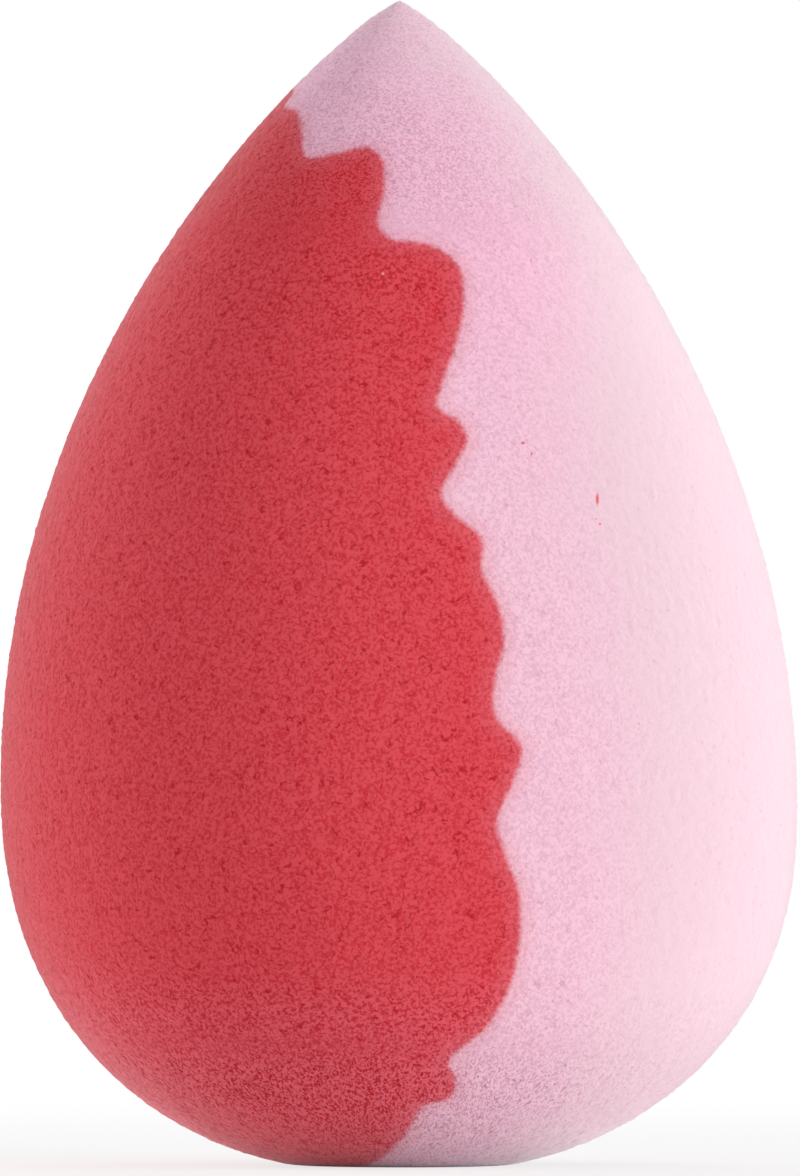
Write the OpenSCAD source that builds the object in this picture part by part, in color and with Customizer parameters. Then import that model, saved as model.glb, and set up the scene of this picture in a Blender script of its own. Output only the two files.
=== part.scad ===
// Makeup sponge
// A teardrop of soft foam in two colours. The red foam and the pink foam were
// poured side by side into one mould and grew together along one wavy face.
// Lengths are in millimetres. The foot rests on z = 0, the tip points up, and
// the front of the sponge faces -Y, with the red foam on the -X side.

/* [Body] */
// Height from the flat of the foot to the tip
body_h = 60; // [45:1:80]
// Diameter of the belly, at its widest
belly_d = 41; // [30:1:55]
// Height of the widest place above the foot
belly_z = 19; // [14:0.5:25]
// Depth of the flat that the sponge rests on, taken off its round end
foot_cut = 0.5; // [0.2:0.1:1.5]

/* [Curve] */
// Fullness of the round end, where 1 is an ellipse and less is fuller
base_power = 0.9; // [0.8:0.02:1]
// Slimness of the shoulders, where 1 is an ellipse and more is slimmer
shoulder_power = 1.7; // [1:0.05:1.9]

/* [Join of the two foams] */
// Half width of the zone inside, in which the front border turns into the back one
turn_zone = 4; // [2:0.5:8]

/* [Fineness] */
// Bands from the foot to the belly
base_bands = 14; // [8:1:20]
// Bands from the belly to the tip
shoulder_bands = 26; // [14:1:34]
// Steps between two points of a border
border_steps = 3; // [1:1:4]
// Facets round the sponge in the preview
$fn = 96; // [48:12:144]

/* [Hidden] */

belly_r = belly_d / 2;
// The round end before its flat is cut reaches this far below the belly
base_depth = belly_z + foot_cut;
shoulder_h = body_h - belly_z;
full_h = body_h + foot_cut;
// How far the join runs on past the sponge on every side
overrun = 3;
reach = belly_r + overrun;

// Angle on the round end's curve at which the flat of the foot starts
foot_angle = asin(pow(belly_z / base_depth, 1 / base_power));

// The border of the red foam on the front of the sponge, from above the left
// rim down to below the foot. Each point is [share of belly_r from the middle
// to the right, share of full_h up from the round end]. The first and the last
// point only steer the curve.
front_border_shares = [
    [-0.600, 0.950], [-0.376, 0.936], [-0.275, 0.922], [-0.298, 0.908], [-0.258, 0.904],
    [-0.244, 0.885], [-0.234, 0.865], [-0.162, 0.867], [-0.080, 0.872], [-0.039, 0.858],
    [-0.041, 0.832], [-0.053, 0.809], [-0.020, 0.794], [0.075, 0.789], [0.145, 0.772],
    [0.160, 0.746], [0.145, 0.710], [0.110, 0.676], [0.094, 0.652], [0.145, 0.640],
    [0.166, 0.623], [0.130, 0.598], [0.103, 0.578], [0.140, 0.560], [0.202, 0.541],
    [0.205, 0.513], [0.243, 0.486], [0.258, 0.456], [0.235, 0.421], [0.240, 0.391],
    [0.300, 0.367], [0.282, 0.338], [0.241, 0.306], [0.263, 0.275], [0.298, 0.237],
    [0.285, 0.179], [0.223, 0.134], [0.127, 0.105], [0.140, 0.085], [0.122, 0.070],
    [0.056, 0.062], [0.008, 0.036], [-0.070, 0.012], [-0.205, 0.001], [-0.320, -0.020]
];

// The border on the back, point for point beside the front one
back_border_shares = [
    [-0.600, 0.950], [-0.376, 0.936], [-0.264, 0.930], [-0.212, 0.921], [-0.205, 0.903],
    [-0.232, 0.884], [-0.222, 0.864], [-0.165, 0.853], [-0.120, 0.844], [-0.098, 0.823],
    [-0.118, 0.797], [-0.108, 0.776], [-0.045, 0.770], [0.020, 0.766], [0.060, 0.745],
    [0.062, 0.715], [0.030, 0.690], [0.036, 0.664], [0.090, 0.655], [0.145, 0.640],
    [0.158, 0.612], [0.128, 0.582], [0.080, 0.562], [0.078, 0.540], [0.120, 0.522],
    [0.132, 0.498], [0.095, 0.470], [0.030, 0.450], [0.000, 0.425], [0.022, 0.398],
    [0.078, 0.380], [0.096, 0.352], [0.062, 0.322], [0.010, 0.296], [-0.012, 0.262],
    [0.020, 0.232], [0.075, 0.205], [0.080, 0.170], [0.044, 0.145], [0.006, 0.130],
    [-0.034, 0.112], [-0.045, 0.086], [-0.100, 0.050], [-0.180, 0.001], [-0.300, -0.020]
];

// Where the join is worked out from front to back, as [place across the sponge,
// share of the back border in the join there]
turn_stations = [
    [-reach, 0], [-turn_zone, 0], [-turn_zone / 2, 0.16], [0, 0.5],
    [turn_zone / 2, 0.84], [turn_zone, 1], [reach, 1]
];

// Half of the teardrop's outline, from the foot's middle round to the tip
function base_point(a) = [
    belly_r * pow(cos(a), base_power),
    belly_z - base_depth * pow(sin(a), base_power)
];
function shoulder_point(a) = [
    belly_r * pow(cos(a), shoulder_power),
    belly_z + shoulder_h * sin(a)
];
outline = concat(
    [[0, 0]],
    [for (i = [0:base_bands - 1]) base_point(foot_angle * (1 - i / base_bands))],
    [for (i = [0:shoulder_bands]) shoulder_point(90 * i / shoulder_bands)]
);

// A smooth curve through a row of points, at share t of the way from point i
function curve_at(p, i, t) = p[i] + 0.5 * t * (
    p[i + 1] - p[i - 1]
    + t * (2 * p[i - 1] - 5 * p[i] + 4 * p[i + 1] - p[i + 2]
    + t * (3 * p[i] - p[i - 1] - 3 * p[i + 1] + p[i + 2]))
);
function curve_through(p) = [
    for (i = [1:len(p) - 3]) for (s = [0:border_steps - 1]) curve_at(p, i, s / border_steps),
    p[len(p) - 2]
];
function to_size(shares) = [
    for (p = shares) [p[0] * belly_r, p[1] * full_h - foot_cut]
];

front_border = to_size(curve_through(front_border_shares));
back_border = to_size(curve_through(back_border_shares));

// One slice of the red side of the join, closed round outside the sponge
function red_slice(station) = let (share = station[1]) [
    for (i = [0:len(front_border) - 1])
        let (p = (1 - share) * front_border[i] + share * back_border[i])
            [p[0], station[0], p[1]],
    [-reach, station[0], -overrun],
    [-reach, station[0], body_h + overrun]
];

// The space of the red foam, which is cut through the whole sponge. Each end
// of it runs out to a point, in front of the sponge and behind it.
module red_side() {
    slices = [for (station = turn_stations) red_slice(station)];
    ring = len(slices[0]);
    last = (len(slices) - 1) * ring;
    tips = [[-reach, -2 * reach, body_h / 2], [-reach, 2 * reach, body_h / 2]];
    front_tip = last + ring;
    back_tip = front_tip + 1;
    walls = [
        for (j = [0:ring:last - ring]) for (i = [0:ring - 1])
            let (a = j + i, b = j + (i + 1) % ring)
                each [[a, b + ring, b], [a, a + ring, b + ring]]
    ];
    front_end = [for (i = [0:ring - 1]) [front_tip, i, (i + 1) % ring]];
    back_end = [for (i = [0:ring - 1]) [back_tip, last + (i + 1) % ring, last + i]];
    points = concat([for (slice = slices) each slice], tips);
    polyhedron(points, concat(walls, front_end, back_end));
}

module teardrop() {
    rotate_extrude() polygon(outline);
}

module red_foam() {
    color("#c8464f") intersection() {
        teardrop();
        red_side();
    }
}

module pink_foam() {
    color("#f0c6da") difference() {
        teardrop();
        red_side();
    }
}

red_foam();
pink_foam();
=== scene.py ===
import math

import bpy
import numpy as np
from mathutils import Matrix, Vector, kdtree, noise


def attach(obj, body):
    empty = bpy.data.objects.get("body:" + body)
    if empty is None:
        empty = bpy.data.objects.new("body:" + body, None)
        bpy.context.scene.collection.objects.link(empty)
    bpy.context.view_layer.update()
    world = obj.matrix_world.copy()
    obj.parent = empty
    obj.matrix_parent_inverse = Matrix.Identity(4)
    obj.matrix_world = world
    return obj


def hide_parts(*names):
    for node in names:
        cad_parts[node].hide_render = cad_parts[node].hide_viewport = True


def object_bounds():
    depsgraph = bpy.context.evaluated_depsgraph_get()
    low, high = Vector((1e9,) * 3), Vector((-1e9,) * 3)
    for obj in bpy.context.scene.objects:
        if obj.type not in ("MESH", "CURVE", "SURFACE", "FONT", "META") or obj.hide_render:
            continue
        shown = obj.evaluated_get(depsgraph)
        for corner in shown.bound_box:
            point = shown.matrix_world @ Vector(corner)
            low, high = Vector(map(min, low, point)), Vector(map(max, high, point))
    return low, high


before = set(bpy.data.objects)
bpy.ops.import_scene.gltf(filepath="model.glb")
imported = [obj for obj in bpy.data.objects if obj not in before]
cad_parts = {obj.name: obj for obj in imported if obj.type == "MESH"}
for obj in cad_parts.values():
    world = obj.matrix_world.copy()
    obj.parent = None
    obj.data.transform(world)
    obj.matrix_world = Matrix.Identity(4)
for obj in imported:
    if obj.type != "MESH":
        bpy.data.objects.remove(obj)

bl_info = {
    "name": "Makeup Sponge",
    "version": (1, 0, 0),
    "blender": (4, 5, 0),
    "location": "3D View > Sidebar > Sponge",
    "description": "A teardrop makeup sponge of two foams that grew together, and its studio",
    "category": "Object",
}

# The box of the imported model, from which the sponge's height is taken.
CAD_LOW, CAD_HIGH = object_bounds()
MM = 0.001

# The border of the red foam on the front of the sponge, from above the left rim
# down to below the foot. Each point is [share of the belly's radius from the
# middle to the right, share of the uncut height up from the round end].
FRONT_BORDER = (
    (-0.600, 0.950), (-0.376, 0.936), (-0.275, 0.922), (-0.298, 0.908), (-0.258, 0.904),
    (-0.244, 0.885), (-0.234, 0.865), (-0.162, 0.867), (-0.080, 0.872), (-0.039, 0.858),
    (-0.041, 0.832), (-0.053, 0.809), (-0.020, 0.794), (0.075, 0.789), (0.145, 0.772),
    (0.160, 0.746), (0.145, 0.710), (0.110, 0.676), (0.094, 0.652), (0.145, 0.640),
    (0.166, 0.623), (0.130, 0.598), (0.103, 0.578), (0.140, 0.560), (0.202, 0.541),
    (0.205, 0.513), (0.243, 0.486), (0.258, 0.456), (0.235, 0.421), (0.240, 0.391),
    (0.300, 0.367), (0.282, 0.338), (0.241, 0.306), (0.263, 0.275), (0.298, 0.237),
    (0.285, 0.179), (0.223, 0.134), (0.127, 0.105), (0.140, 0.085), (0.122, 0.070),
    (0.056, 0.062), (0.008, 0.036), (-0.070, 0.012), (-0.205, 0.001), (-0.320, -0.020),
)
# The border on the back, point for point beside the front one.
BACK_BORDER = (
    (-0.600, 0.950), (-0.376, 0.936), (-0.264, 0.930), (-0.212, 0.921), (-0.205, 0.903),
    (-0.232, 0.884), (-0.222, 0.864), (-0.165, 0.853), (-0.120, 0.844), (-0.098, 0.823),
    (-0.118, 0.797), (-0.108, 0.776), (-0.045, 0.770), (0.020, 0.766), (0.060, 0.745),
    (0.062, 0.715), (0.030, 0.690), (0.036, 0.664), (0.090, 0.655), (0.145, 0.640),
    (0.158, 0.612), (0.128, 0.582), (0.080, 0.562), (0.078, 0.540), (0.120, 0.522),
    (0.132, 0.498), (0.095, 0.470), (0.030, 0.450), (0.000, 0.425), (0.022, 0.398),
    (0.078, 0.380), (0.096, 0.352), (0.062, 0.322), (0.010, 0.296), (-0.012, 0.262),
    (0.020, 0.232), (0.075, 0.205), (0.080, 0.170), (0.044, 0.145), (0.006, 0.130),
    (-0.034, 0.112), (-0.045, 0.086), (-0.100, 0.050), (-0.180, 0.001), (-0.300, -0.020),
)
# Where the join turns from the front border into the back one, as
# [share of the turning zone's half width, share of the back border there].
TURN_SHARES = ((-1.0, 0.0), (-0.5, 0.16), (0.0, 0.5), (0.5, 0.84), (1.0, 1.0))
# Steps of the smooth curve from one point of a border to the next.
BORDER_STEPS = 6

# Steps in each half of the reckoned outline, and the parts that a band of faces is made in.
OUTLINE_STEPS = 3000
QUARTERS = 4
# How softly the foot's edge turns up from the floor.
FOOT_SOFTNESS = 0.15 * MM
# The middle of the sponge crosses its axis this far below the belly. Under that it strays the
# other way, by this share of the lean, over this share of a half wave.
LEAN_DROP = 2 * MM
LOWER_LEAN_SHARE = 0.8
LOWER_WAVE_SHARE = 0.9
# The skin's unevenness, as [width of the lumps, share of the relief], and the height above the
# floor from which it is whole.
SKIN_LUMPS = ((2.6 * MM, 0.2), (1.1 * MM, 0.2), (0.5 * MM, 0.4), (0.27 * MM, 1.1))
UNEVEN_FROM = 0.6 * MM
# How far the room of the red foam goes past the sponge.
OVERRUN = 3 * MM
# A foam with fewer faces than this wasn't parted well.
FEWEST_FACES = 1000
# Points below this height lie in the flat of the foot.
FLAT_HEIGHT = 0.05 * MM
# Points nearer the axis than this have no direction of their own.
AXIS_RADIUS = 0.001 * MM
# Points nearer the border than this have their distance measured to its edges.
NEAR_BORDER = 1.5 * MM

# The bake map's empty rim, and the corner and span of the join's patch in it.
MAP_MARGIN = 0.015
JOIN_CORNER = (0.02, 0.88)
JOIN_SPAN = (0.2, 0.1)

# The foam's grain: the width of its pits on the walls and at the two ends, how much wider the
# scattered deep pits are, and how deep the grain goes.
WALL_GRAIN = 0.19 * MM
END_GRAIN = 0.14 * MM
DEEP_PIT_SCALE = 1.7
GRAIN_DEPTH = 0.028 * MM
# Values of the noise between which a fine pit, and a deep one, fades out.
PIT_NOISE = (0.38, 0.58)
DEEP_PIT_NOISE = (0.27, 0.39)
# Width of the foam's soft lumps and of the lumps that fray the border, how far these move it,
# how far apart the specks in the pink lie, and the shares of that between which a speck fades.
LUMP_WIDTH = 0.7 * MM
FRAY_WIDTH = 0.3 * MM
FRAY_REACH = 0.3 * MM
SPECK_SPACING = 0.75 * MM
SPECK_FADE = (0.06, 0.16)
# The grain round the foot is drawn towards a ring of this radius, by this share of the way, and
# evenly inside the core.
STRETCH_RING = 16 * MM
STRETCH_CORE = 6 * MM
STRETCH_SHARE = 0.7

# Heights between which the finish changes.
STRETCHED_LEVELS = (8 * MM, 20 * MM)
FOOT_LEVELS = (4 * MM, 12 * MM)
FOOT_GRAIN_LEVELS = (5 * MM, 8 * MM)
UPPER_SHADE_LEVELS = (30 * MM, 52 * MM)
TIP_LEVELS = (40 * MM, 52 * MM)
TIP_GRAIN_LEVELS = (46 * MM, 50 * MM)
# Distances from the border between which the colour changes, below zero in the pink foam.
NEAR_REACH = (-10 * MM, -1 * MM)
EDGE_REACH = (-0.22 * MM, 0.2 * MM)
SOAKED_REACH = (-1.1 * MM, 0.0)
CLEAR_REACH = (0.0, 1.3 * MM)

# Bits of stray foam in the skin of the front, as the place across and up, and the half width
# and half height, all in millimetres.
RED_FLECKS = ((10.07, 34.25, 0.1, 0.36), (10.20, 32.99, 0.09, 0.06), (9.99, 33.25, 0.06, 0.04),
              (6.27, 37.10, 0.12, 0.09), (6.72, 36.55, 0.05, 0.10))
PALE_FLECKS = ((-0.84, 45.75, 0.08, 0.08),)
# Where a fleck's edge fades, as shares of its half width and half height.
FLECK_FADE = (0.4, 1.2)

# Names of what a piece's mesh carries for its finish and its bake map.
BORDER_DISTANCE = "border_distance"
BAKE_MAP = "OFBake"

# The studio, in metres: the lamps' side, their distance and what they shine on, the floor's half
# side, its drop below the foot and the distances over which it fades to white, and the camera's
# place and the reach of its view. Its sensor and lens are in millimetres.
LAMP_SIDE = 0.3
LAMP_DISTANCE = 0.6
LAMP_AIM = (0, 0, 0.03)
FLOOR_REACH = 3.0
FLOOR_DROP = 0.02 * MM
FLOOR_FADE = (0.04, 0.16)
CAMERA_PLACE = (0.026 * MM, -1.2, 29.73 * MM)
CAMERA_CLIP = (0.1, 10)
CAMERA_SENSOR = 24
CAMERA_LENS = 475.3


def from_screen(red, green, blue):
    """A colour given in 0 to 255 as a screen shows it, in the values that light is reckoned in."""
    shares = [value / 255 for value in (red, green, blue)]
    return tuple(v / 12.92 if v <= 0.04045 else ((v + 0.055) / 1.055) ** 2.4 for v in shares)


def with_alpha(colour):
    return (*colour[:3], 1.0)


class SpongeSizes(bpy.types.PropertyGroup):
    """The sizes of the sponge."""

    height: bpy.props.FloatProperty(
        name="Height", description="From the flat of the foot to the tip",
        default=CAD_HIGH.z - CAD_LOW.z, min=0.03, max=0.1, unit="LENGTH", subtype="DISTANCE")
    belly_width: bpy.props.FloatProperty(
        name="Belly width", description="Across the sponge at its widest",
        default=0.041, min=0.02, max=0.07, unit="LENGTH", subtype="DISTANCE")
    belly_level: bpy.props.FloatProperty(
        name="Belly level", description="Height of the widest place above the foot",
        default=0.019, min=0.01, max=0.03, unit="LENGTH", subtype="DISTANCE")
    foot_cut: bpy.props.FloatProperty(
        name="Foot cut", description="Depth of the flat that the sponge rests on",
        default=0.0005, min=0.0002, max=0.0015, unit="LENGTH", subtype="DISTANCE")
    base_power: bpy.props.FloatProperty(
        name="Round end", description="Fullness of the round end, where 1 is an ellipse",
        default=0.9, min=0.8, max=1.0, subtype="FACTOR")
    shoulder_power: bpy.props.FloatProperty(
        name="Shoulders", description="Slimness of the shoulders, where 1 is an ellipse",
        default=1.7, min=1.0, max=1.9)
    turn_zone: bpy.props.FloatProperty(
        name="Turning zone", description="Half width of the zone in which the borders meet",
        default=0.004, min=0.002, max=0.008, unit="LENGTH", subtype="DISTANCE")
    lean: bpy.props.FloatProperty(
        name="Lean", description="How far the middle of the sponge strays sideways",
        default=0.0002, min=0.0, max=0.001, unit="LENGTH", subtype="DISTANCE")
    relief: bpy.props.FloatProperty(
        name="Relief", description="Depth of the uneven foam surface",
        default=0.00006, min=0.0, max=0.0002, unit="LENGTH", subtype="DISTANCE")
    bands: bpy.props.IntProperty(
        name="Bands", description="Half the number of bands of faces from tip to foot",
        default=184, min=40, max=200)


class FoamColours(bpy.types.PropertyGroup):
    """The colours of the two foams, with painted light and shade in some of them."""

    red: bpy.props.FloatVectorProperty(
        name="Red", description="Colour of the red foam's ridges",
        default=from_screen(233, 91, 102), size=3, min=0, max=1, subtype="COLOR")
    # Painted sheen: the lighter ridges at the foot stand in for the light that the fuzzy ridges catch
    # there.
    red_foot_sheen: bpy.props.FloatVectorProperty(
        name="Red at the ends", description="Colour of the red foam's ridges at the tip and the foot",
        default=from_screen(240, 124, 142), size=3, min=0, max=1, subtype="COLOR")
    red_pores: bpy.props.FloatVectorProperty(
        name="Red pits", description="Colour of the red foam's pits",
        default=from_screen(213, 44, 58), size=3, min=0, max=1, subtype="COLOR")
    red_deep: bpy.props.FloatVectorProperty(
        name="Deep red pits", description="Colour of the deepest pits of the red foam",
        default=from_screen(188, 18, 31), size=3, min=0, max=1, subtype="COLOR")
    red_sheen: bpy.props.FloatVectorProperty(
        name="Red sheen", description="Colour of the light that the red foam's fine edges catch",
        default=(1.0, 0.55, 0.58), size=3, min=0, max=1, subtype="COLOR")
    pink_sheen: bpy.props.FloatVectorProperty(
        name="Pink sheen", description="Colour of the light that the pink foam's fine edges catch",
        default=(0.6, 0.6, 0.6), size=3, min=0, max=1, subtype="COLOR")
    # The pink is paler far from the border and deeper beside it, partly as red dust in the foam and
    # partly as painted light: a painted highlight pales the brightly lit far side.
    pink: bpy.props.FloatVectorProperty(
        name="Pink", description="Colour of the pink foam far from the border",
        default=from_screen(239, 214, 223), size=3, min=0, max=1, subtype="COLOR")
    pink_border: bpy.props.FloatVectorProperty(
        name="Pink at the border", description="Colour of the pink foam beside the red foam",
        default=from_screen(249, 213, 228), size=3, min=0, max=1, subtype="COLOR")
    # The deeper pink at the tip is painted shade: the colour that this foam shows in the shade there.
    pink_tip: bpy.props.FloatVectorProperty(
        name="Pink at the tip", description="Colour of the pink foam beside the red foam in the tip",
        default=from_screen(252, 206, 227), size=3, min=0, max=1, subtype="COLOR")
    pink_pores: bpy.props.FloatVectorProperty(
        name="Pink pits", description="Colour of the pink foam's pits",
        default=from_screen(221, 165, 191), size=3, min=0, max=1, subtype="COLOR")
    pink_deep: bpy.props.FloatVectorProperty(
        name="Deep pink pits", description="Colour of the deepest pits of the pink foam",
        default=from_screen(198, 130, 159), size=3, min=0, max=1, subtype="COLOR")


class StudioLight(bpy.types.PropertyGroup):
    """The light and the floor of the studio."""

    key_power: bpy.props.FloatProperty(
        name="Key light", description="Power of the large lamp at the right",
        default=3.7, min=0, max=50, unit="POWER")
    fill_power: bpy.props.FloatProperty(
        name="Fill light", description="Power of the lamp at the left",
        default=1.15, min=0, max=50, unit="POWER")
    rim_power: bpy.props.FloatProperty(
        name="Rim light", description="Power of the lamp at the left behind the sponge",
        default=2.5, min=0, max=50, unit="POWER")
    side_power: bpy.props.FloatProperty(
        name="Side light", description="Power of the raised lamp at the far left",
        default=0.5, min=0, max=50, unit="POWER")
    back_power: bpy.props.FloatProperty(
        name="Back light", description="Power of the lamp high behind the sponge",
        default=0.6, min=0, max=50, unit="POWER")
    room: bpy.props.FloatProperty(
        name="Room light", description="Strength of the even light from all round",
        default=0.34, min=0, max=2)
    floor: bpy.props.FloatVectorProperty(
        name="Floor", description="Colour of the floor",
        default=(0.95, 0.95, 0.95), size=3, min=0, max=1, subtype="COLOR")


class Value:
    """A value of a finish. Python's arithmetic on it adds the finish's Math nodes."""

    def __init__(self, finish, socket):
        self.finish = finish
        self.socket = socket

    def __add__(self, other):
        return self.finish.math("ADD", self, other)

    def __radd__(self, other):
        return self.finish.math("ADD", other, self)

    def __sub__(self, other):
        return self.finish.math("SUBTRACT", self, other)

    def __rsub__(self, other):
        return self.finish.math("SUBTRACT", other, self)

    def __mul__(self, other):
        return self.finish.math("MULTIPLY", self, other)

    def __rmul__(self, other):
        return self.finish.math("MULTIPLY", other, self)

    def __rtruediv__(self, other):
        return self.finish.math("DIVIDE", other, self)


class Finish:
    """A material, or the world, whose nodes are added one call at a time."""

    def __init__(self, holder):
        holder.use_nodes = True
        self.holder = holder
        self.tree = holder.node_tree
        self.tree.nodes.clear()

    def node(self, kind, settings=None, sockets=None, output=0):
        """Adds a node, sets it, fills its sockets, and gives the value of one of its outputs."""
        made = self.tree.nodes.new(kind)
        for name, setting in (settings or {}).items():
            setattr(made, name, setting)
        for name, value in (sockets or {}).items():
            if isinstance(value, Value):
                self.tree.links.new(value.socket, made.inputs[name])
            else:
                made.inputs[name].default_value = value
        return Value(self, made.outputs[output]) if len(made.outputs) else made

    def math(self, operation, first, second):
        return self.node("ShaderNodeMath", {"operation": operation}, {0: first, 1: second})

    def vector(self, operation, first, second, output=0):
        return self.node("ShaderNodeVectorMath", {"operation": operation},
                         {0: first, 1: second}, output)

    def scaled(self, vector, size):
        return self.node("ShaderNodeVectorMath", {"operation": "SCALE"},
                         {0: vector, "Scale": size})

    def place(self):
        """The place on the sponge, in metres."""
        return self.node("ShaderNodeTexCoord", output="Object")

    def clouds(self, place, size, detail=2.0, roughness=0.5, distortion=0.0):
        """Even noise from 0 to 1 whose lumps are about size across."""
        return self.node(
            "ShaderNodeTexNoise", None,
            {"Vector": place, "Scale": 1 / size, "Detail": detail, "Roughness": roughness,
             "Distortion": distortion})

    def cells(self, place, size):
        """Distance from the nearest of many points about size apart, as a share of size."""
        return self.node(
            "ShaderNodeTexVoronoi", None, {"Vector": place, "Scale": 1 / size}, "Distance")

    def ramp(self, value, low, high):
        """0 below low, 1 above high, and a smooth step between them."""
        return self.node(
            "ShaderNodeMapRange", {"interpolation_type": "SMOOTHSTEP"},
            {"Value": value, "From Min": low, "From Max": high})

    def mix(self, share, first, second):
        """A colour between first and second, from the node's sockets for colours."""
        first, second = [
            colour if isinstance(colour, Value) else with_alpha(colour)
            for colour in (first, second)]
        return self.node("ShaderNodeMix", {"data_type": "RGBA"}, {0: share, 6: first, 7: second}, 2)

    def output(self, shader, kind="ShaderNodeOutputMaterial"):
        self.node(kind, sockets={"Surface": shader})
        return self.holder


def outline(sizes):
    """Half of the teardrop's outline, from the tip round to the foot's middle: how far along it
    each point lies, its distance from the axis and its height."""
    belly = sizes.belly_width / 2
    turn = np.linspace(0, math.pi / 2, OUTLINE_STEPS)
    shoulder_out = belly * np.sin(turn) ** sizes.shoulder_power
    shoulder_up = sizes.belly_level + (sizes.height - sizes.belly_level) * np.cos(turn)
    base_out = belly * np.cos(turn) ** sizes.base_power
    base_up = (sizes.belly_level
               - (sizes.belly_level + sizes.foot_cut) * np.sin(turn) ** sizes.base_power)
    out = np.concatenate((shoulder_out, base_out[1:]))
    up = np.concatenate((shoulder_up, base_up[1:]))
    along = np.concatenate(([0], np.cumsum(np.hypot(np.diff(out), np.diff(up)))))
    return along, out, up


def settled(up):
    """Heights with what lies below the floor pressed flat onto it, over a soft edge."""
    eased = (up + FOOT_SOFTNESS) ** 2 / (4 * FOOT_SOFTNESS)
    return np.where(up > FOOT_SOFTNESS, up, np.where(up < -FOOT_SOFTNESS, 0.0, eased))


def lean_at(sizes, up):
    """How far the middle of the sponge strays to the right at a height."""
    turn = sizes.belly_level - LEAN_DROP
    above = np.clip((up - turn) / (sizes.height - turn), 0, 1)
    below = np.clip((turn - up) / turn, 0, 1)
    lower = LOWER_LEAN_SHARE * np.sin(math.pi * below * LOWER_WAVE_SHARE)
    return sizes.lean * (lower - np.sin(math.pi * above))


def moulded_block(sizes):
    """The whole teardrop as one mesh of small even triangles, before the foams are parted."""
    bands = 2 * sizes.bands
    along, out, up = outline(sizes)
    levels = np.linspace(0, along[-1], bands + 1)
    ring_out = np.interp(levels, along, out)
    ring_up = settled(np.interp(levels, along, up))
    ring_out[0] = ring_out[-1] = 0
    starts, points, faces = [0], [], []
    for i in range(bands + 1):
        count = max(1, QUARTERS * min(i, bands - i))
        angle = 2 * math.pi * np.arange(count) / count
        points.append(np.column_stack((
            ring_out[i] * np.cos(angle), ring_out[i] * np.sin(angle),
            np.full(count, ring_up[i]))))
        starts.append(starts[-1] + count)
    for i in range(bands):
        swap = i >= sizes.bands
        small, large = (i + 1, i) if swap else (i, i + 1)
        step = min(small, bands - small)
        few, many = max(1, QUARTERS * step), QUARTERS * (step + 1)
        for quarter in range(QUARTERS):
            k = np.arange(step + 1)
            inner = starts[small] + (quarter * step + k) % few
            outer = starts[large] + (quarter * (step + 1) + k) % many
            beyond = starts[large] + (quarter * (step + 1) + k + 1) % many
            wide = np.column_stack((inner, outer, beyond))
            narrow = np.column_stack((inner[:-1], beyond[:-1], inner[1:]))
            both = np.concatenate((wide, narrow))
            faces.append(both[:, ::-1] if swap else both)
    mesh = bpy.data.meshes.new("moulded_block")
    mesh.from_pydata(np.concatenate(points), [], np.concatenate(faces))
    mesh.update()
    roughen(mesh, sizes)
    return mesh


def roughen(mesh, sizes):
    """Moves the block's skin in and out by the unevenness of moulded foam, and leans it."""
    count = len(mesh.vertices)
    places = np.empty(count * 3, np.float32)
    outward = np.empty(count * 3, np.float32)
    mesh.vertices.foreach_get("co", places)
    mesh.vertex_normals.foreach_get("vector", outward)
    places = places.reshape(-1, 3).astype(float)
    outward = outward.reshape(-1, 3).astype(float)
    height = np.zeros(count)
    for size, share in SKIN_LUMPS:
        height += share * np.array([noise.noise(Vector(p)) for p in places / size])
    free = np.clip(places[:, 2] / UNEVEN_FROM, 0, 1)
    places += outward * (height * sizes.relief * free)[:, None]
    places[:, 0] += lean_at(sizes, places[:, 2])
    places[:, 2] = np.maximum(places[:, 2], 0)
    mesh.vertices.foreach_set("co", places.astype(np.float32).ravel())
    mesh.update()


def smooth_row(row):
    """A smooth curve through a border's points, of which the first and the last only steer."""
    points = np.array(row)
    before, start, end, after = points[:-3], points[1:-2], points[2:-1], points[3:]
    curve = []
    for share in np.arange(BORDER_STEPS) / BORDER_STEPS:
        curve.append(start + 0.5 * share * (
            end - before
            + share * (2 * before - 5 * start + 4 * end - after
                       + share * (3 * start - before - 3 * end + after))))
    return np.concatenate((np.stack(curve, 1).reshape(-1, 2), points[-2:-1]))


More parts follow.
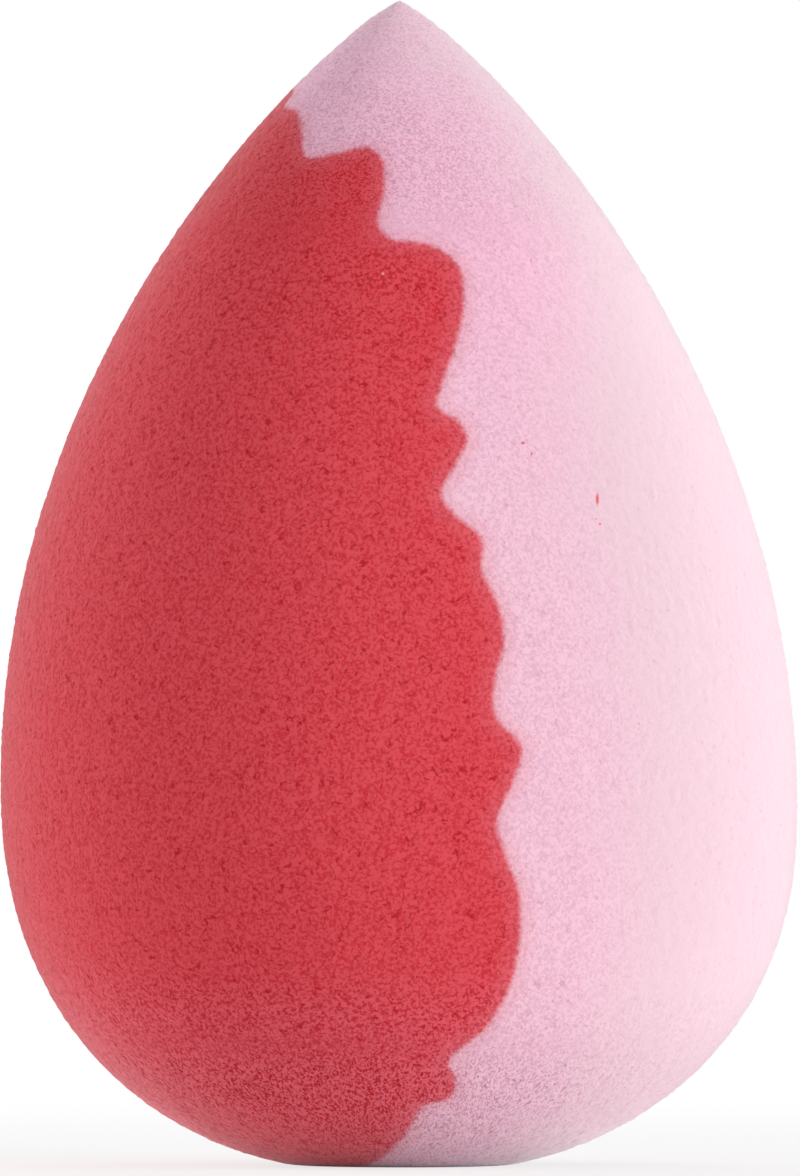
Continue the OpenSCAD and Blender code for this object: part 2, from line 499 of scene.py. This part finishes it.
def red_side(sizes):
    """The room of the red foam, cut through the whole sponge, as a closed mesh. Its map lies in
    the corner of the bake map that the outside of a piece leaves free."""
    belly = sizes.belly_width / 2
    scale = np.array((belly, sizes.height + sizes.foot_cut))
    front, back = [
        smooth_row(row) * scale - (0, sizes.foot_cut) for row in (FRONT_BORDER, BACK_BORDER)]
    reach = belly + OVERRUN
    stations = [(-reach, 0.0)]
    stations += [(share * sizes.turn_zone, turned) for share, turned in TURN_SHARES]
    stations += [(reach, 1.0)]
    points = []
    for y, turned in stations:
        row = (1 - turned) * front + turned * back
        points += [(x, y, z) for x, z in row]
        points += [(-reach, y, -OVERRUN), (-reach, y, sizes.height + OVERRUN)]
    ring = len(front) + 2
    last = (len(stations) - 1) * ring
    middle = sizes.height / 2
    points += [(-reach, -2 * reach, middle), (-reach, 2 * reach, middle)]
    front_tip, back_tip = last + ring, last + ring + 1
    faces = []
    for start in range(0, last, ring):
        for i in range(ring):
            a, b = start + i, start + (i + 1) % ring
            faces += [(a, b, b + ring), (a, b + ring, a + ring)]
    for i in range(ring):
        following = (i + 1) % ring
        faces += [(front_tip, following, i), (back_tip, last + i, last + following)]
    mesh = bpy.data.meshes.new("red_side")
    mesh.from_pydata(points, [], faces)
    corner = mesh.uv_layers.new(name=BAKE_MAP)
    for loop in mesh.loops:
        index = loop.vertex_index
        share = min(index % ring, len(front)) / len(front) if index < front_tip else 0.5
        across = points[index][1] / (2 * reach) + 0.5
        corner.data[loop.index].uv = (
            JOIN_CORNER[0] + JOIN_SPAN[0] * share,
            JOIN_CORNER[1] + JOIN_SPAN[1] * min(max(across, 0), 1))
    mesh.update()
    return mesh


def cut(name, block, tool, operation):
    """A new piece: the block with only the tool's room kept, or taken away."""
    piece = bpy.data.objects.new(name, block.copy())
    cutter = bpy.data.objects.new("cutter", tool)
    for made in (piece, cutter):
        bpy.context.scene.collection.objects.link(made)
    knife = piece.modifiers.new("cut", "BOOLEAN")
    knife.operation = operation
    knife.solver = "MANIFOLD"
    knife.material_mode = "TRANSFER"
    knife.object = cutter
    bpy.context.view_layer.update()
    shaped = piece.evaluated_get(bpy.context.evaluated_depsgraph_get())
    mesh = bpy.data.meshes.new_from_object(shaped)
    piece.modifiers.clear()
    piece.data = mesh
    mesh.name = name
    bpy.data.objects.remove(cutter)
    if len(mesh.polygons) < FEWEST_FACES:
        raise RuntimeError(f"{name}: the foams could not be parted")
    return piece


def mesh_numbers(mesh):
    """A mesh's places, the vertex and the face of each of its loops, and its faces' materials."""
    places = np.empty(len(mesh.vertices) * 3, np.float32)
    mesh.vertices.foreach_get("co", places)
    corners = np.empty(len(mesh.loops), np.int32)
    mesh.loops.foreach_get("vertex_index", corners)
    totals = np.empty(len(mesh.polygons), np.int32)
    mesh.polygons.foreach_get("loop_total", totals)
    kinds = np.empty(len(mesh.polygons), np.int32)
    mesh.polygons.foreach_get("material_index", kinds)
    face_of = np.repeat(np.arange(len(totals)), totals)
    return places.reshape(-1, 3).astype(float), corners, face_of, kinds


def lay_out(piece, sizes, side, joined):
    """Lays the outside of a piece flat for baking, like a peeled segment: round the sponge
    across, and along its outline up and down. side is -1 for the left foam and 1 for the right."""
    mesh = piece.data
    places, corners, face_of, _ = mesh_numbers(mesh)
    along, out, up = outline(sizes)
    flat = settled(up)
    order = np.argsort(flat, kind="stable")
    radius = np.hypot(places[:, 0], places[:, 1])
    travelled = np.interp(places[:, 2], flat[order], along[order])
    on_foot = places[:, 2] < FLAT_HEIGHT
    travelled[on_foot] = along[-1] - radius[on_foot]
    belly_round = np.interp(travelled, along, out)
    angle = np.arctan2(side * places[:, 1], side * places[:, 0])
    middle = np.zeros((len(joined), 2))
    np.add.at(middle, face_of, places[corners][:, :2] * side)
    middle_angle = np.arctan2(middle[:, 1], middle[:, 0])[face_of]
    turned = angle[corners] - middle_angle
    turned = (turned + math.pi) % (2 * math.pi) - math.pi
    turned[radius[corners] < AXIS_RADIUS] = 0
    across = (middle_angle + turned) * belly_round[corners]
    down = travelled[corners]
    outside = ~joined[face_of]
    low = np.array((across[outside].min(), down[outside].min()))
    high = np.array((across[outside].max(), down[outside].max()))
    share = (np.column_stack((across, down)) - low) / (high - low)
    share[:, 1] = 1 - share[:, 1]
    layer = mesh.uv_layers.get(BAKE_MAP) or mesh.uv_layers.new(name=BAKE_MAP)
    uv = np.empty(len(corners) * 2, np.float32)
    layer.uv.foreach_get("vector", uv)
    uv = uv.reshape(-1, 2)
    uv[outside] = MAP_MARGIN + (1 - 2 * MAP_MARGIN) * share[outside]
    layer.uv.foreach_set("vector", uv.ravel())


def measure_border(piece, side, joined):
    """Marks the border where the piece's outside meets the join as a sharp edge, and keeps each
    point's distance from it, which is below zero in the right foam."""
    mesh = piece.data
    places, corners, face_of, _ = mesh_numbers(mesh)
    edge_of = np.empty(len(corners), np.int32)
    mesh.loops.foreach_get("edge_index", edge_of)
    count = len(mesh.edges)
    inner = np.bincount(edge_of, joined[face_of], count)
    outer = np.bincount(edge_of, ~joined[face_of], count)
    border = (inner > 0) & (outer > 0)
    sharp = mesh.attributes.get("sharp_edge") or mesh.attributes.new("sharp_edge", "BOOLEAN", "EDGE")
    sharp.data.foreach_set("value", border)
    pairs = np.empty(count * 2, np.int32)
    mesh.edges.foreach_get("vertices", pairs)
    pairs = pairs.reshape(-1, 2)[border]
    neighbours = {}
    for a, b in pairs.tolist():
        neighbours.setdefault(a, []).append(b)
        neighbours.setdefault(b, []).append(a)
    tree = kdtree.KDTree(len(neighbours))
    for index in neighbours:
        tree.insert(places[index], index)
    tree.balance()
    distance = np.zeros(len(places), np.float32)
    for index, place in enumerate(places):
        if index in neighbours:
            continue
        _, nearest, best = tree.find(place)
        if best < NEAR_BORDER:
            start = places[nearest]
            for other in neighbours[nearest]:
                run = places[other] - start
                length = run @ run
                share = min(max((place - start) @ run / length, 0), 1) if length > 0 else 0
                best = min(best, np.linalg.norm(place - start - share * run))
        distance[index] = -side * best
    kept = mesh.attributes.new(BORDER_DISTANCE, "FLOAT", "POINT")
    kept.data.foreach_set("value", distance)


def on_front(sizes, across, up):
    """The place on the front of the sponge at a distance across and a height."""
    _, out, level = outline(sizes)
    order = np.argsort(level, kind="stable")
    radius = np.interp(up, level[order], out[order])
    return across, -math.sqrt(radius ** 2 - across ** 2), up


def flecks(finish, place, sizes, rows):
    """1 inside the flecks of the given rows, and 0 outside."""
    found = 0.0
    for across, up, half_width, half_height in rows:
        centre = on_front(sizes, across * MM, up * MM)
        away = finish.vector("SUBTRACT", place, centre)
        away = finish.vector("DIVIDE", away, (half_width * MM, 1 * MM, half_height * MM))
        reach = finish.vector("LENGTH", away, (0, 0, 0), "Value")
        found = finish.math("MAXIMUM", found, 1 - finish.ramp(reach, *FLECK_FADE))
    return found


def spread_at_foot(finish, place, share):
    """The place with what lies round the foot drawn towards one ring, which draws the foam's grain
    out from the foot as the skin there was stretched. share is 1 at the foot."""
    flat = finish.vector("MULTIPLY", place, (1, 1, 0))
    radius = finish.vector("LENGTH", flat, (0, 0, 0), "Value")
    radius = finish.math("MAXIMUM", radius, STRETCH_CORE)
    drawn = STRETCH_SHARE * STRETCH_RING / radius - STRETCH_SHARE
    return finish.vector("ADD", finish.scaled(flat, 1 + drawn * share),
                         finish.vector("MULTIPLY", place, (0, 0, 1)))


def foam_grain(finish, place, size):
    """How deep the foam lies in its fine pits, and in its scattered deeper ones, from 0 to 1."""
    fine = finish.clouds(place, size, detail=2.0, roughness=0.6, distortion=0.6)
    coarse = finish.clouds(
        place, DEEP_PIT_SCALE * size, detail=1.0, roughness=0.5, distortion=0.9)
    return 1 - finish.ramp(fine, *PIT_NOISE), 1 - finish.ramp(coarse, *DEEP_PIT_NOISE)


def foam_finish(name, sizes, colours, sheen):
    """Fine open foam: a net of ridges over pits, red on one side of the border and pink on the
    other, where each colour has soaked a little way into the other. Painted light and shade are
    mixed into the colours too: a darker top, darker pits at the ends and beside the border,
    lighter ridges at the foot as painted sheen, and a paler pink far from the border as a
    painted highlight. The bare numbers weigh the colours and the grain against each other."""
    finish = Finish(bpy.data.materials.new(name))
    place = finish.place()
    level = finish.node("ShaderNodeSeparateXYZ", sockets={"Vector": place}, output="Z")
    border = finish.node("ShaderNodeAttribute", {"attribute_name": BORDER_DISTANCE},
                         output="Fac")

    lumps = finish.clouds(place, LUMP_WIDTH)
    specks = 1 - finish.ramp(finish.cells(place, SPECK_SPACING), *SPECK_FADE)
    low = 1 - finish.ramp(level, *STRETCHED_LEVELS)
    finer = finish.math("MAXIMUM", 1 - finish.ramp(level, *FOOT_GRAIN_LEVELS),
                        finish.ramp(level, *TIP_GRAIN_LEVELS))
    pits, deep = [
        wall + (end - wall) * finer for wall, end in zip(
            foam_grain(finish, place, WALL_GRAIN),
            foam_grain(finish, spread_at_foot(finish, place, low), END_GRAIN))]
    near = finish.ramp(border, *NEAR_REACH)
    height = (lumps * 0.5 - pits * 0.5 - deep * 0.3) * (0.6 + 0.4 * near)

    fray = finish.clouds(place, FRAY_WIDTH, roughness=0.6)
    edge = finish.ramp(border + (fray - 0.5) * FRAY_REACH, *EDGE_REACH)
    soaked = finish.ramp(border, *SOAKED_REACH)
    clear = finish.ramp(border, *CLEAR_REACH)
    in_red = edge * 0.76 + soaked * 0.16 + clear * 0.08

    # Painted shade: towards the top the red's ridges go a little towards its pits, and the pink
    # beside the border towards a deeper pink.
    upper_shade = finish.ramp(level, *UPPER_SHADE_LEVELS)
    foot = 1 - finish.ramp(level, *FOOT_LEVELS)
    tip = finish.ramp(level, *TIP_LEVELS) * 0.8
    # Painted shade, besides the foam's grain: the red's pits are darker at the tip and the foot,
    # where the light grazes the skin.
    ends = finish.math("MAXIMUM", tip * 0.7, foot)
    # Painted sheen: the red's ridges grow lighter towards the foot.
    ridges = finish.mix(foot * 0.7, colours.red, colours.red_foot_sheen)
    pores = finish.mix(ends * 0.45, colours.red_pores, colours.red_deep)
    red = finish.mix(pits * (0.66 + 0.26 * ends) + (1 - lumps) * 0.2 + upper_shade * 0.1, ridges, pores)
    red = finish.mix(deep * (0.7 + 0.2 * ends), red, colours.red_deep)
    # Partly painted highlight: the pink far from the border is paler, and beside the border it is
    # deeper, where red dust also tints it.
    pink = finish.mix(near, colours.pink, colours.pink_border)
    # Painted shade: beside the border the pink deepens towards the tip.
    pink = finish.mix(upper_shade * near, pink, colours.pink_tip)
    # Painted shade, besides the foam's grain: the pink's pits are darker at the tip, the foot and
    # beside the border.
    ends_pit_shade = finish.math("MAXIMUM", foot * 0.85, tip) * (0.5 + near * 0.5)
    pit_grain_and_shade = finish.math("MAXIMUM", ends_pit_shade, 0.08 + near * 0.33)
    pores = finish.mix(foot * 0.2, colours.pink_pores, colours.pink_deep)
    pink = finish.mix(pits * pit_grain_and_shade, pink, pores)
    pink = finish.mix(deep * pit_grain_and_shade * (0.55 + 0.45 * foot), pink, colours.pink_deep)
    pink = finish.mix(specks * lumps * (0.3 + 0.25 * near), pink, colours.red)
    colour = finish.mix(in_red, pink, red)
    colour = finish.mix(flecks(finish, place, sizes, RED_FLECKS) * 0.85, colour, colours.red)
    colour = finish.mix(flecks(finish, place, sizes, PALE_FLECKS) * 0.6, colour, colours.pink)

    normal = finish.node(
        "ShaderNodeBump", None,
        {"Strength": 1.0, "Distance": GRAIN_DEPTH, "Height": height}, "Normal")
    shader = finish.node(
        "ShaderNodeBsdfPrincipled", None,
        {"Base Color": colour, "Roughness": 0.9, "Specular IOR Level": 0.1,
         "Sheen Weight": 0.85, "Sheen Roughness": 0.3, "Sheen Tint": with_alpha(sheen),
         "Diffuse Roughness": 1.0, "Normal": normal})
    return finish.output(shader)


class MAKEUPSPONGE_OT_add_foams(bpy.types.Operator):
    """Moulds the teardrop and parts it into the red foam and the pink foam"""

    bl_idname = "makeup_sponge.add_foams"
    bl_label = "Add Foams"
    bl_options = {"REGISTER", "UNDO"}

    def execute(self, context):
        sizes = context.scene.sponge_sizes
        colours = context.scene.foam_colours
        block = moulded_block(sizes)
        tool = red_side(sizes)
        block.materials.append(bpy.data.materials.new("outside"))
        tool.materials.append(bpy.data.materials.new("join"))
        for name, operation, side, sheen in (
                ("red_foam", "INTERSECT", -1, colours.red_sheen),
                ("pink_foam", "DIFFERENCE", 1, colours.pink_sheen)):
            piece = cut(name + "_body", block, tool, operation)
            mesh = piece.data
            kinds = [m.name if m else "" for m in mesh.materials]
            join_kind = kinds.index("join")
            joined = mesh_numbers(mesh)[3] == join_kind
            lay_out(piece, sizes, side, joined)
            measure_border(piece, side, joined)
            mesh.materials.clear()
            mesh.materials.append(foam_finish(name.replace("_", " "), sizes, colours, sheen))
            mesh.polygons.foreach_set("material_index", np.zeros(len(mesh.polygons), np.int32))
            mesh.polygons.foreach_set("use_smooth", ~joined)
            mesh.update()
            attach(piece, "root")
            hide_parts(name)
        return {"FINISHED"}


def add_lamp(name, azimuth, elevation, power):
    """A square soft lamp that shines on the sponge's middle. Azimuth 0 is the front and 90 the
    right, and elevation is above the horizon, in degrees."""
    light = bpy.data.lights.new(name, "AREA")
    light.shape = "SQUARE"
    light.size = LAMP_SIDE
    light.energy = power
    turn, tilt = math.radians(azimuth), math.radians(elevation)
    away = Vector((math.sin(turn) * math.cos(tilt), -math.cos(turn) * math.cos(tilt),
                   math.sin(tilt)))
    lamp = bpy.data.objects.new(name, light)
    lamp.location = Vector(LAMP_AIM) + LAMP_DISTANCE * away
    lamp.rotation_euler = (-away).to_track_quat("-Z", "Y").to_euler()
    bpy.context.scene.collection.objects.link(lamp)


def floor_finish(colour):
    """A pale matt floor that is white to the eye except where the sponge shades it."""
    finish = Finish(bpy.data.materials.new("studio floor"))
    matt = finish.node("ShaderNodeBsdfDiffuse", None, {"Color": with_alpha(colour)})
    white = finish.node("ShaderNodeEmission", None, {"Color": (1, 1, 1, 1), "Strength": 1.0})
    sees = finish.node("ShaderNodeLightPath", output="Is Camera Ray")
    distance = finish.vector("LENGTH", finish.place(), (0, 0, 0), "Value")
    away = finish.ramp(distance, *FLOOR_FADE)
    return finish.output(finish.node(
        "ShaderNodeMixShader", None, {0: sees * (0.75 + 0.25 * away), 1: matt, 2: white}))


class MAKEUPSPONGE_OT_add_studio(bpy.types.Operator):
    """Adds the floor, the lamps, the white surroundings and the camera"""

    bl_idname = "makeup_sponge.add_studio"
    bl_label = "Add Studio"
    bl_options = {"REGISTER", "UNDO"}

    def execute(self, context):
        scene = context.scene
        light = scene.studio_light
        mesh = bpy.data.meshes.new("floor")
        mesh.from_pydata(
            [(x * FLOOR_REACH, y * FLOOR_REACH, 0) for x, y in ((-1, -1), (1, -1), (1, 1), (-1, 1))],
            [], [(0, 1, 2, 3)])
        floor = bpy.data.objects.new("floor", mesh)
        floor.location.z = -FLOOR_DROP
        scene.collection.objects.link(floor)
        mesh.materials.append(floor_finish(light.floor))

        world = bpy.data.worlds.new("studio")
        scene.world = world
        finish = Finish(world)
        ray = {name: finish.node("ShaderNodeLightPath", output=name) for name in (
            "Is Camera Ray", "Is Glossy Ray", "Is Transmission Ray")}
        seen = ray["Is Camera Ray"] + ray["Is Glossy Ray"] + ray["Is Transmission Ray"]
        strength = light.room + (1 - light.room) * finish.math("MINIMUM", seen, 1.0)
        finish.output(
            finish.node("ShaderNodeBackground", None, {"Color": (1, 1, 1, 1), "Strength": strength}),
            "ShaderNodeOutputWorld")

        for name, azimuth, elevation, power in (
                ("key lamp", 62, 5, light.key_power),
                ("fill lamp", -60, 5, light.fill_power),
                ("side lamp", -90, 30, light.side_power),
                ("rim lamp", -122, 5, light.rim_power),
                ("back lamp", 180, 50, light.back_power)):
            add_lamp(name, azimuth, elevation, power)

        camera = bpy.data.cameras.new("camera")
        camera.sensor_fit = "VERTICAL"
        camera.sensor_height = CAMERA_SENSOR
        camera.lens = CAMERA_LENS
        camera.clip_start, camera.clip_end = CAMERA_CLIP
        eye = bpy.data.objects.new("camera", camera)
        eye.location = CAMERA_PLACE
        eye.rotation_euler = (math.pi / 2, 0, 0)
        scene.collection.objects.link(eye)
        scene.camera = eye
        scene.view_settings.view_transform = "Standard"
        return {"FINISHED"}


class MAKEUPSPONGE_PT_panel(bpy.types.Panel):
    """The sponge's buttons and sizes"""

    bl_label = "Makeup Sponge"
    bl_idname = "MAKEUPSPONGE_PT_panel"
    bl_space_type = "VIEW_3D"
    bl_region_type = "UI"
    bl_category = "Sponge"

    def draw(self, context):
        layout = self.layout
        for group in (context.scene.sponge_sizes, context.scene.foam_colours,
                      context.scene.studio_light):
            box = layout.box()
            for name in group.__annotations__:
                box.prop(group, name)
        layout.operator(MAKEUPSPONGE_OT_add_foams.bl_idname)
        layout.operator(MAKEUPSPONGE_OT_add_studio.bl_idname)


CLASSES = (SpongeSizes, FoamColours, StudioLight, MAKEUPSPONGE_OT_add_foams,
           MAKEUPSPONGE_OT_add_studio, MAKEUPSPONGE_PT_panel)


def register():
    for cls in CLASSES:
        bpy.utils.register_class(cls)
    bpy.types.Scene.sponge_sizes = bpy.props.PointerProperty(type=SpongeSizes)
    bpy.types.Scene.foam_colours = bpy.props.PointerProperty(type=FoamColours)
    bpy.types.Scene.studio_light = bpy.props.PointerProperty(type=StudioLight)


def unregister():
    del bpy.types.Scene.studio_light
    del bpy.types.Scene.foam_colours
    del bpy.types.Scene.sponge_sizes
    for cls in reversed(CLASSES):
        bpy.utils.unregister_class(cls)


def main():
    register()
    bpy.ops.makeup_sponge.add_studio()
    bpy.ops.makeup_sponge.add_foams()


if __name__ == "__main__":
    main()
